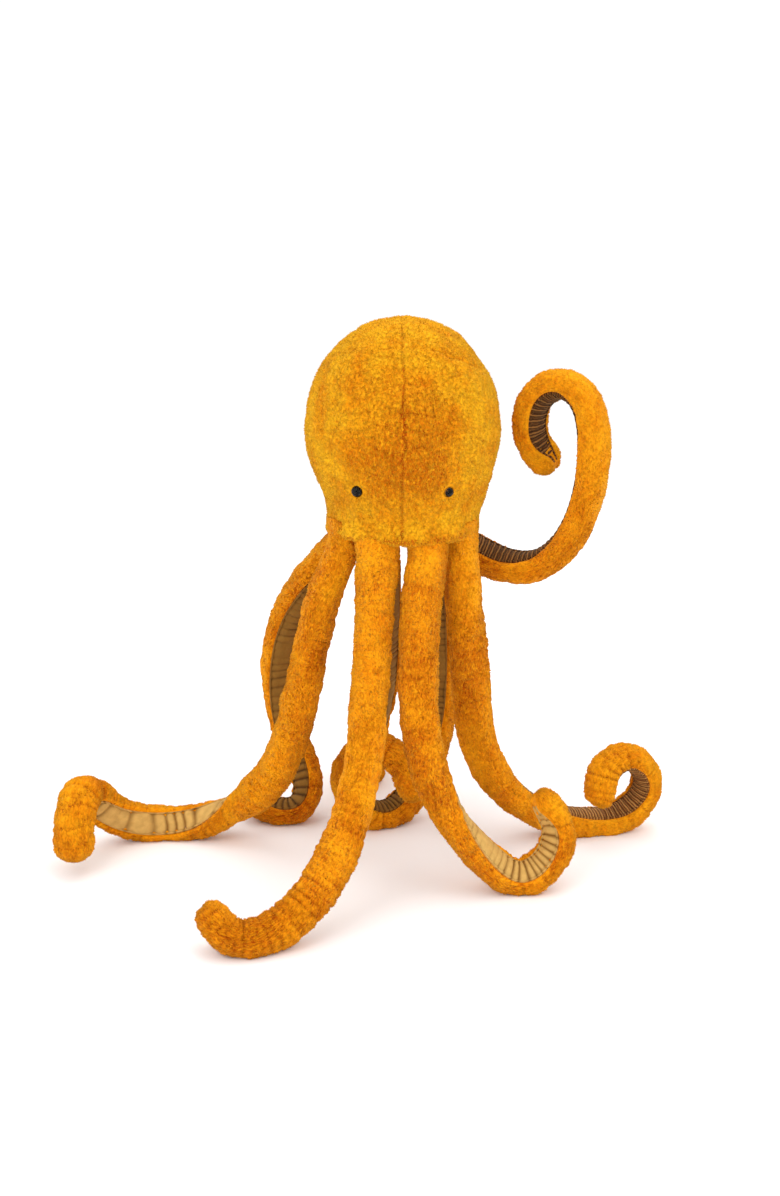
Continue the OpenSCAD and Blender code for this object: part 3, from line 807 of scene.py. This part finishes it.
def velvet(name, light, dark, pitch=0.0):
    """Short-napped velvet with shade painted into its folds in the dark tone; pitch is the distance between
    fine gathers, if any.
    """
    material, tree, surface = shader(name)
    where = add(tree, "ShaderNodeTexCoord")
    pile = add(tree, "ShaderNodeAttribute", attribute_name="pile")
    high, low = (add(tree, "ShaderNodeRGB").outputs[0] for _ in range(2))
    high.default_value, low.default_value = linear(light), linear(dark)
    # painted shade: the velvet turns to its dark tone in the folds, where the pile value is low
    fold = remap(tree, pile.outputs["Fac"], 0.05, 0.8, 1.0, 0.0)
    tone = blended(tree, fold, high, low)
    brushed = remap(tree, clouds(tree, where.outputs["UV"], 0.012, 3.0), 0.35, 0.7, 0.0, 0.3)
    tone = blended(tree, brushed, tone, low)
    nap = clouds(tree, where.outputs["UV"], 0.0007, 2.0)
    bump = add(tree, "ShaderNodeBump", in_Strength=0.3, in_Distance=0.0005)
    tree.links.new(nap, bump.inputs["Height"])
    if pitch:
        gathers, ridges = gathered(tree, pitch)
        # painted shade: the velvet turns to its dark tone in the gathers
        tone = blended(tree, gathers, tone, low)
        tree.links.new(ridges, bump.inputs["Normal"])
    tree.links.new(tone, surface.inputs["Base Color"])
    tree.links.new(bump.outputs["Normal"], surface.inputs["Normal"])
    tree.links.new(remap(tree, nap, 0.3, 0.7, 0.7, 0.9), surface.inputs["Roughness"])
    surface.inputs["Specular IOR Level"].default_value = 0.2
    surface.inputs["Sheen Weight"].default_value = 0.16
    surface.inputs["Sheen Roughness"].default_value = 0.35
    surface.inputs["Sheen Tint"].default_value = linear((255, 205, 120))
    return material


# one velvet in four tones: each pair paints the light or shade that falls on its arms, and its second colour
# is the painted shade in the folds
VELVETS = {
    "khaki": velvet("khaki velvet", (212, 168, 92), (126, 84, 28)),
    "olive": velvet("olive velvet", (144, 102, 38), (74, 44, 8)),
    "brown": velvet("brown velvet", (206, 150, 82), (104, 56, 16), 0.0042),
    "umber": velvet("umber velvet", (166, 112, 54), (60, 30, 6), 0.004),
}
print("velvets:", sorted(VELVETS))

# %% [markdown]
# ## The fabric of the arms
#
# The stuffed form gives every ring of an arm its final place. The fur piece takes the ring's fur columns
# and closes flat behind the velvet, and the velvet piece takes the other columns. Each arm is crumpled,
# gathered and brushed in its own way, so these numbers come in one row for each arm.

# %% How each arm is folded
FINE = 2                # subdivision levels, which make cells of just over a millimetre
SPLIT = 1.5             # the fabric is cut half way down the upper part of the arm
VELVET_START = 2        # the velvet begins this many rings lower than the fur
CLOTH_CELL = 0.0045     # width of a cell round the arm
APART = 0.7             # keeps the folds of one arm unlike those of the next
PLEATS = [
    # pleat length in mm, depth in mm, how uneven, velvet
    (17, 2.8, 1.0, "khaki"), (9, 1.8, 0.6, "khaki"), (9, 2.6, 0.8, "khaki"), (8.4, 1.5, 0.3, "brown"),
    (8, 1.6, 0.3, "umber"), (10, 2.2, 0.8, "olive"), (10, 2.2, 0.6, "olive"), (8, 2.2, 0.6, "olive"),
]
CREASES = [1, 1, 1, 0.7, 0.35, 1, 1, 1]     # how crumpled the fur of each arm is
# ring-shaped gathers in the fur: how strong, and from which share of the arm's length
GATHERS = [(0.3, 0.5), (1.0, 0.42), (0.25, 0.5), (1.1, 0.72),
           (0.2, 0.7), (0.3, 0.5), (0.3, 0.5), (0.3, 0.5)]
# how ruffled the pile is near the root and near the tip
RUFFLED = [(0.6, 0.6), (0.6, 0.7), (0.7, 0.7), (0.75, 0.3),
           (1.0, 0.15), (0.8, 0.9), (0.7, 0.7), (0.8, 0.8)]
print("velvet of each arm:", [row[3] for row in PLEATS])


# %% Reading a stuffed form
def ring_positions(arm):
    """The stuffed positions of every ring and column of a form."""
    found, mesh = form_rings[arm].copy(), forms[arm].data
    rings, columns = found.shape[:2]
    co = np.zeros(len(mesh.vertices) * 3)
    mesh.vertices.foreach_get("co", co)
    corner, flat = cloth_map(mesh)
    sides = np.concatenate([list(range(p.loop_start, p.loop_start + p.loop_total))
                            for p in mesh.polygons if p.loop_total == 4]).astype(int)
    column = np.rint(flat[sides, 0] * (columns - 1)).astype(int)
    ring = np.rint(flat[sides, 1] * (rings - 1)).astype(int)
    found[ring, column] = co.reshape(-1, 3)[corner[sides]]
    found[:, -1] = found[:, 0]
    return found


def along_arm(arm, key):
    return np.array([row[key] for row in ARMS[arm]])


def bend_inwards(arm):
    """How strongly the arm bends towards its underside at every ring, in 1/m, smoothed."""
    along, under, length = along_arm(arm, 1), along_arm(arm, 3), along_arm(arm, 6)
    turn = np.gradient(along, axis=0) / np.maximum(np.gradient(length)[:, None], 1e-6)
    inward = np.sum(turn * under, axis=1)
    return np.convolve(np.pad(inward, 3, mode="edge"), np.ones(7) / 7, mode="valid")


def closed_strip(found, columns, dip, under):
    """Columns of a form closed along their flat side, dip metres deeper than the straight chord."""
    strip = found[:, columns]
    middle = (strip[:, 0] + strip[:, -1]) / 2 - under * dip
    quarter = (strip[:, -1] * 0.75 + strip[:, 0] * 0.25) - under * dip * 0.6
    return np.concatenate([strip, quarter[:, None], middle[:, None], strip[:, :1]], axis=1)


print("sharpest inward bend of each arm, radius in mm:",
      [round(1000 / bend_inwards(arm).max()) for arm in range(8)])

# %% [markdown]
# ## Where a vertex lies on its arm
#
# Folds follow the cloth, not space. So every vertex is first given its place: how far down the arm it is,
# how far round from one seam to the other, how sharply the arm bends there, and its distance from a seam.

# %% Places on the cloth
def places(arm, kind, mesh, points):
    """The place of every vertex of a piece of fabric, as arrays with one number for each vertex."""
    at = SimpleNamespace(arm=arm)
    at.co, at.normal, uv = vertex_data(mesh)
    cells = FUR_CELLS if kind == "fur" else VELVET_CELLS
    number, u = np.arange(len(ARMS[arm])), along_arm(arm, 7)
    ring = uv[:, 1] * (len(points) - 1) + (0 if kind == "fur" else VELVET_START)
    at.length = np.interp(ring, number, along_arm(arm, 6))
    at.bend = np.interp(ring, number, np.clip(bend_inwards(arm) / 22, 0, 1))
    at.share = np.interp(ring, number, u / u[-1])
    side = uv[:, 0] * (points.shape[1] - 1) / cells         # 0 and 1 are the two seams
    at.side = np.clip(side, 0, 1)
    at.edge = np.minimum(at.side, 1 - at.side)
    at.shown = side <= 1.001
    at.cloth = np.column_stack([at.side * cells * CLOTH_CELL, at.length,
                                np.full(len(side), arm * APART)])
    return at


print("columns:", FUR_CELLS, "of fur,", VELVET_CELLS, "of velvet, width in mm:", CLOTH_CELL / MM)

# %% [markdown]
# ## Folds in the fur
#
# Fur creases across the arm, more so on the inside of a bend, and where the seams pull it in it forms
# rings. Lumps, clumps and flecks of smaller and smaller size lie over that. Nothing may sink deeper than
# the fabric's thickness, or the stuffing would show.

# %% Fur folds
CREASE, BEND_CREASE, RING, LUMP, CLUMP, FLECK = 0.0011, 0.0012, 0.0011, 0.0011, 0.0005, 0.0006
RING_PITCH = 0.0085
SEAM_ROLL = 0.0012      # the fur rolls up a little beside the velvet
DEEPEST_FUR, DEEPEST_VELVET = -0.0024, -0.0036


def fur_folds(at):
    """How far the fur is pushed out at each vertex, its pile, and how ruffled it is."""
    crease = np.abs(noise(at.cloth * [0.22, 1, 1], 0.0095, 3))
    crease = CREASES[at.arm] * (CREASE + BEND_CREASE * at.bend) * (np.clip(crease * 2.2, 0, 1) - 1)
    strong, start = GATHERS[at.arm]
    strong = strong * np.clip((at.share - start) / 0.08, 0, 1)
    swing = 0.5 * noise(at.cloth * [0.5, 1, 1], 0.03, 19)
    ringed = strong * RING * (np.abs(np.sin(math.pi * (at.length / RING_PITCH + swing))) ** 0.7 - 1)
    lumps = LUMP * noise(at.cloth, 0.022, 5)
    clumps = CLUMP * noise(at.co, 0.006, 7)
    flecks = FLECK * noise(at.co, 0.0026, 9)
    seam_roll = SEAM_ROLL * np.exp(-(at.edge / 0.05) ** 2)
    push = np.where(at.shown, crease + ringed + lumps + clumps + flecks + seam_roll, 0)

    # slim arms are drawn in already, so that their sides may sink less
    flank = np.cos(np.radians(SEAM_ANGLE + FUR_SPAN * at.side)) ** 2
    u = at.share * ARMS[at.arm][-1][7]
    slimmed = max(SLIM[at.arm], 0) * np.exp(-((u - SLIM_MIDDLE) / SLIM_REACH) ** 4)
    push = np.maximum(push, DEEPEST_FUR + 0.7 * slimmed * flank)

    # the pile value: low in creases and gathers and varied by clumps and flecks; the fur's material paints
    # shade where it is low and a highlight where it is high
    pile = 0.55 + 0.12 * clumps / CLUMP + 0.3 * flecks / FLECK
    pile = pile + 0.2 * (crease / CREASE + 0.5) + 0.3 * ringed / RING
    near, far = RUFFLED[at.arm]
    brush = near + (far - near) * np.clip((at.share - 0.2) / 0.4, 0, 1)
    return push, pile, brush * (0.8 + 0.7 * noise(at.cloth, 0.04, 43))


print("deepest folds in fur and in velvet, in mm:", DEEPEST_FUR / MM, DEEPEST_VELVET / MM)

# %% [markdown]
# ## Gathers in the velvet
#
# The velvet is sewn on a little too long. It gathers into pleats across the arm, deepest on the inside of
# a bend, and it is held down along both seams. A sine wave gives the pleats and noise makes them uneven.

# %% Velvet folds
def velvet_folds(at):
    """How far the velvet is pushed out at each vertex, its pile, and zeros: it has no ruffled pile."""
    pleat, depth, uneven, _ = PLEATS[at.arm]
    drift = uneven * noise(at.cloth * [0, 1, 1], pleat * MM * 2.6, 11)
    wander = (0.06 + 0.2 * uneven) * noise(at.cloth * [0.9, 0.5, 1], 0.026, 13)
    wave = np.abs(np.sin(math.pi * (at.length / (pleat * MM) + drift + wander)))
    patchy = 0.3 * noise(at.cloth, 0.035, 15)
    patchy = patchy + 0.4 * uneven * noise(at.cloth * [0.5, 1, 1], 0.016, 55)
    strength = np.clip(0.4 + at.bend + patchy, 0.08, 1)
    fold = (1 - wave) ** 1.1
    puff = 0.0009 * uneven * noise(at.cloth * [0.5, 1, 1], 0.02, 45)
    dip = puff - depth * MM * strength * fold
    tuck = -0.0022 * np.exp(-(at.edge / 0.09) ** 2)
    push = np.maximum(dip + tuck + 0.0003 * noise(at.co, 0.004, 17) - 0.0008, DEEPEST_VELVET)
    # the pile value is low in the folds, where the velvet's material paints shade
    return np.where(at.shown, push, 0), 1 - fold * strength, np.zeros(len(at.side))


FOLDS = {"fur": fur_folds, "velvet": velvet_folds}
print("folds for:", list(FOLDS))

# %% [markdown]
# ## Cutting each piece in two
#
# A piece of fabric may run over one joint only, so the fur and the velvet of an arm are each cut half way
# down its upper part. The root half bends with the joint at the head, and the outer half with the elbow.
# The blend gives the two ends of the stretch, in the middle of the arm, over which the fabric bends.

# %% Cutting, tufting and hanging
TUFT_SHARE = 0.55
ARM_PILE, HEAD_PILE = 0.0019, 0.0021        # length of the tufts
LOWEST = 0.0004         # the fabric rests this high above the floor
ROOT_STRETCH, STRETCH = 0.018, 0.026        # from a hinge to the ends of the fabric that bends there
ELBOW = 3


def half_of(source, outer, split_v):
    """One part of a piece: the cells before or after the cut across the arm, with the cut closed."""
    bm = source.copy()
    cloth = bm.loops.layers.uv.active
    away = []
    for face in bm.faces:
        v = sum(loop[cloth].uv.y for loop in face.loops) / len(face.loops)
        if (v > split_v) != outer:
            away.append(face)
    bmesh.ops.delete(bm, geom=away, context="FACES")
    bmesh.ops.holes_fill(bm, edges=[edge for edge in bm.edges if edge.is_boundary], sides=0)
    return bm


def tuft_arm(bm, arm, points, seed):
    """Adds tufts to the outside of an arm's fur, combed towards its tip."""
    along, layer = along_arm(arm, 1), bm.loops.layers.uv.active
    limit = (FUR_CELLS - 0.2) / (points.shape[1] - 1)
    hairy = [face for face in bm.faces if len(face.loops) == 4
             and max(loop[layer].uv.x for loop in face.loops) < limit]

    def comb(face):
        ring = int(face.loops[0][layer].uv.y * (len(points) - 1))
        return Vector(along[min(len(along) - 1, max(0, ring))])

    add_tufts(bm, hairy, comb, TUFT_SHARE, ARM_PILE, seed)


def lay_out(bm, arm, points):
    """Gives the map its real size in metres, one arm above the other, and clears the floor."""
    layer = bm.loops.layers.uv.active
    size = ((points.shape[1] - 1) * CLOTH_CELL, ARMS[arm][-1][6] + SEAM_RISE)
    for face in bm.faces:
        for loop in face.loops:
            uv = loop[layer].uv
            uv.x *= size[0]
            uv.y = uv.y * size[1] + arm * APART
    bmesh.ops.triangulate(bm, faces=[face for face in bm.faces if len(face.verts) > 4])
    for vert in bm.verts:
        vert.co.z = max(vert.co.z, LOWEST)


def hang(piece, arm, kind, outer):
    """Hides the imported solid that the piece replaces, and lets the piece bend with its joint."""
    name = f"arm_{arm + 1}"
    part, solid = "lower" if outer else "upper", "fur" if kind == "fur" else "underside"
    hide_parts(f"{name}_{part}_{solid}")
    ring = int(np.argmin(np.abs(along_arm(arm, 7) - ELBOW))) if outer else TOP_RINGS
    middle, along = ARMS[arm][ring][:2]
    above, below = (f"{name}_upper", f"{name}_lower") if outer else ("head", f"{name}_upper")
    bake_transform(piece, above, below, tuple(middle - along * (STRETCH if outer else ROOT_STRETCH)),
             tuple(middle + along * STRETCH))


print("pile in mm:", round(ARM_PILE / MM, 1), "on the arms,", round(HEAD_PILE / MM, 1), "on the head")

# %% [markdown]
# ## All the fabric of the arms
#
# Now the steps come together for each arm: take the strip, subdivide it, fold it, cut it, tuft it and hang
# it. The forms have done their work then, and are removed.

# %% Fur and velvet of the eight arms
def arm_fabric(arm, kind):
    found, under = ring_positions(arm), along_arm(arm, 3)
    if kind == "fur":
        first, points = 0, closed_strip(found, list(range(FUR_CELLS + 1)), 0.0, under)
    else:
        end = len(found) - len(TIP_ANGLES) + 2
        first, points = VELVET_START, closed_strip(found, list(range(FUR_CELLS, AROUND + 1)), 0.003,
                                                   under)[VELVET_START:end]
    cage = rolled_sheet(f"arm_{arm + 1}_{kind}_cage", points)
    mesh = subdivided(cage, FINE)
    at = places(arm, kind, mesh, points)
    push, pile, brush = FOLDS[kind](at)
    co = at.co + at.normal * push[:, None]
    co[:, 2] = np.maximum(co[:, 2], LOWEST)
    mesh.vertices.foreach_set("co", co.ravel())
    store_number(mesh, "pile", pile)
    store_number(mesh, "brush", brush)

    source = bmesh.new()
    source.from_mesh(mesh)
    bpy.data.objects.remove(cage)
    split_v = (int(np.argmin(np.abs(along_arm(arm, 7) - SPLIT))) - first) / (len(points) - 1)
    for outer in (False, True):
        bm = half_of(source, outer, split_v)
        if kind == "fur":
            tuft_arm(bm, arm, points, arm * 2 + outer)
        lay_out(bm, arm, points)
        material = ARM_FUR if kind == "fur" else VELVETS[PLEATS[arm][3]]
        name = f"arm_{arm + 1}_{kind}_{'outer' if outer else 'root'}"
        piece = finish_piece(bm, name, material)
        hang(piece, arm, kind, outer)
        print(name, len(piece.data.polygons), "faces")
    source.free()


for arm in range(8):
    for kind in ("fur", "velvet"):
        arm_fabric(arm, kind)
for made in forms:
    bpy.data.objects.remove(made)

# %% [markdown]
# ## The head's fur
#
# The head is sewn from four panels. The seams pull the fur in along the middle of the face, the back and
# both sides, and the pile is crumpled by the stuffing behind it. A few longer creases are drawn one by
# one, each as a line on the front.

# %% Seams and folds of the head
CRUMPLE = 0.0009
FACE_Z = 0.487          # height of the face, where the middle seam wanders most
DEEPEST_HEAD = -0.0014
HEAD_CREASES = [
    # from and to, as distances in mm from the middle seam and heights, and the depth in mm
    ((30, 562), (80, 541), 2.2), ((44, 582), (70, 558), 1.6), ((2, 490), (24, 482), 1.3),
    ((76, 474), (86, 468), 1.6), ((70, 450), (79, 444), 1.4), ((-42, 511), (-34, 503), 1.3),
    ((2, 505), (52, 494), 0.9), ((-36, 470), (-2, 462), 0.8), ((4, 532), (26, 527), 0.9),
    ((-30, 492), (-4, 486), 0.8), ((14, 470), (44, 452), 0.7),
]


def head_creases(local):
    """Depth of the long creases at each vertex."""
    depth = np.zeros(len(local))
    flat = local[:, [0, 2]] + 0.0016 * noise(local, 0.011, 51)[:, None]
    for start, end, deep in HEAD_CREASES:
        start, end = np.array(start) * MM, np.array(end) * MM
        way = end - start
        part = np.clip((flat - start) @ way / way.dot(way), 0, 1)
        off = np.linalg.norm(flat - start - part[:, None] * way, axis=1)
        depth = np.maximum(depth, deep * MM * np.exp(-(off / 0.0018) ** 2) * (local[:, 1] < 0))
    return depth


def head_seams(local):
    """Depth of the four seams at each vertex, and the pucker of the fur beside the middle one."""
    waves = 0.0014 + 0.0022 * np.exp(-((local[:, 2] - FACE_Z) / 0.045) ** 4)
    front = np.abs(local[:, 0] + waves * noise(local * [0, 1, 1], 0.013, 21))
    sides = np.abs(local[:, 1] + 0.0012 * noise(local, 0.012, 23))
    seam = 0.0028 * np.exp(-(front / 0.0022) ** 2) + 0.0012 * np.exp(-(sides / 0.0018) ** 2)
    pucker = 0.0015 * noise(local * [0.3, 1, 1], 0.008, 25) * np.exp(-(front / 0.016) ** 2)
    return seam, pucker


def head_lumps(local):
    """The soft lumps of the stuffing, with slack fur at the upper right."""
    lumps = 0.0019 * noise(local, 0.045, 27) + 0.0009 * noise(local, 0.02, 29)
    slack = np.exp(-(((local[:, 0] - 0.062) / 0.045) ** 2 + ((local[:, 2] - 0.545) / 0.04) ** 2))
    return lumps + 0.0022 * slack * noise(local * [0.7, 0.4, 1], 0.014, 49)


mesh = subdivided(head_form, FINE)
co, normal, _ = vertex_data(mesh)
local = co - np.array([SHIFT[0] * MM, SHIFT[1] * MM, 0])
seam, pucker = head_seams(local)
lines = head_creases(local)
above = local[:, 2] > SEAM_Z + 0.004
crumple = np.abs(noise(local * [0.6, 1, 1], 0.017, 31))
crumple = CRUMPLE * (np.clip(crumple * 2.4, 0, 1) - 1)
clumps = CLUMP * noise(local, 0.006, 33)
flecks = FLECK * noise(local, 0.0026, 35)
crown = np.exp(-(np.hypot(local[:, 0], local[:, 1]) / 0.012) ** 2) * (local[:, 2] > 0.5)
crown = crown * (0.0022 + 0.002 * noise(local, 0.006, 47))
full = np.where(local[:, 0] > 0, 0.0012, 0.0002)
push = full + head_lumps(local) + crumple + clumps + flecks - lines
push = np.maximum(push + np.where(above, pucker - seam, 0), DEEPEST_HEAD) + crown
co = co + normal * push[:, None]
mesh.vertices.foreach_set("co", co.ravel())
print("deepest seam in mm:", round(seam.max() / MM, 1), " creases:", len(HEAD_CREASES))

# %% [markdown]
# ## The tone of the head
#
# Shade is painted into the fur along its seams, its creases, the hollows of the crumple and the hem, by
# lowering the pile value there. The brush value is highest in the middle of the face, which makes the fur
# darker and more mottled there. Both are stored as numbers for the material.

# %% Pile and brushing of the head
# painted shade: a lower pile value darkens the fur along the hem, in the seams, in the creases and in the
# hollows of the crumple
hem = np.exp(-((local[:, 2] - SEAM_Z) / 0.0035) ** 2)
painted_seam_shade = 80 + 160 * np.exp(-((local[:, 2] - FACE_Z) / 0.05) ** 4)
pile = 0.55 + 0.12 * clumps / CLUMP + 0.3 * flecks / FLECK + 0.12 * crumple / CRUMPLE
pile = pile - painted_seam_shade * seam * above - 170 * lines - 0.45 * hem
store_number(mesh, "pile", pile)
face_middle = ((local[:, 0] / 0.052) ** 2 + ((local[:, 2] - 0.47) / 0.072) ** 2) ** 1.5
brush = np.exp(-face_middle) * (local[:, 1] < 0) * (1.0 + 0.5 * noise(local, 0.03, 41))
brush = brush + 0.25 * np.clip(noise(local, 0.05, 53), 0, 1)
store_number(mesh, "brush", brush)
print("brushed share of the head:", round(float((brush > 0.5).mean()), 2))

# %% [markdown]
# ## Tufts on the head
#
# The tufts of the head are combed downwards. The eyes and the middle seam are kept clear of them.

# %% The head's tufts
EYES = [sum(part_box(f"eye_{side}"), Vector()) / 2 for side in ("left", "right")]
EYE_CLEAR, SEAM_CLEAR = 0.0085, 0.0012


def hairy(face):
    """Whether a face may carry a tuft."""
    middle = face.calc_center_median()
    on_seam = abs(middle.x - SHIFT[0] * MM) < SEAM_CLEAR and 0.43 < middle.z < 0.54
    return not on_seam and all((middle - eye).length > EYE_CLEAR for eye in EYES)


def downwards(face):
    down = Vector((0, 0, -1))
    return (down - face.normal * down.dot(face.normal)) * 0.8


bm = bmesh.new()
bm.from_mesh(mesh)
bpy.data.objects.remove(head_form)
add_tufts(bm, [face for face in bm.faces if hairy(face)], downwards, TUFT_SHARE, HEAD_PILE, 99)
head = finish_piece(bm, "head_fur", HEAD_FUR)
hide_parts("head_front_left", "head_front_right", "head_back_left", "head_back_right", "head_base")
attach(head, "head")
print("head:", len(head.data.polygons), "faces")

# %% [markdown]
# ## Eyes, stuffing and wire
#
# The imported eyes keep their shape: a clear dome over a dark disc. The stuffing, the wire and the washers
# are inside, where nobody sees them, but they still get their real finishes.

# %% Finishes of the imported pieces
def plain(name, color, roughness, metallic=0.0):
    """A hard finish with a faint grain; roughness is a pair, from smooth to dull."""
    material, tree, surface = shader(name)
    where = add(tree, "ShaderNodeTexCoord")
    grain = clouds(tree, where.outputs["Object"], 0.003, 3.0)
    first, second = (add(tree, "ShaderNodeRGB") for _ in range(2))
    first.outputs[0].default_value = linear(color)
    second.outputs[0].default_value = linear([c * 0.82 for c in color])
    tree.links.new(blended(tree, grain, first.outputs[0], second.outputs[0]), surface.inputs["Base Color"])
    low, high = roughness
    tree.links.new(remap(tree, grain, 0.3, 0.7, low, high), surface.inputs["Roughness"])
    surface.inputs["Metallic"].default_value = metallic
    return material, surface


dome, _, dome_shader = shader("clear dome")
dome_shader.inputs["Base Color"].default_value = (0.45, 0.41, 0.36, 1)
dome_shader.inputs["Transmission Weight"].default_value = 1.0
dome_shader.inputs["Roughness"].default_value = 0.03
dome_shader.inputs["IOR"].default_value = 1.22
pupil, pupil_shader = plain("black pupil", (10, 9, 9), (0.12, 0.3))
pupil_shader.inputs["Specular IOR Level"].default_value = 0.05
fibre, _ = plain("white fibre", (240, 238, 232), (0.85, 0.97))
wire, _ = plain("galvanised wire", (168, 170, 174), (0.3, 0.5), 1.0)
nylon, _ = plain("white nylon", (226, 226, 222), (0.35, 0.5))


def dress(node, material):
    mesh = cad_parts[node].data
    mesh.materials.clear()
    mesh.materials.append(material)


for side in ("left", "right"):
    dress(f"eye_{side}", dome)
    dress(f"eye_{side}_pupil", pupil)
dress("eye_washers", nylon)
dress("head_filling", fibre)
dress("armature_hub", wire)
for number in range(1, 9):
    for part in ("upper", "lower"):
        dress(f"arm_{number}_{part}_core", fibre)
print("packed pieces dressed")
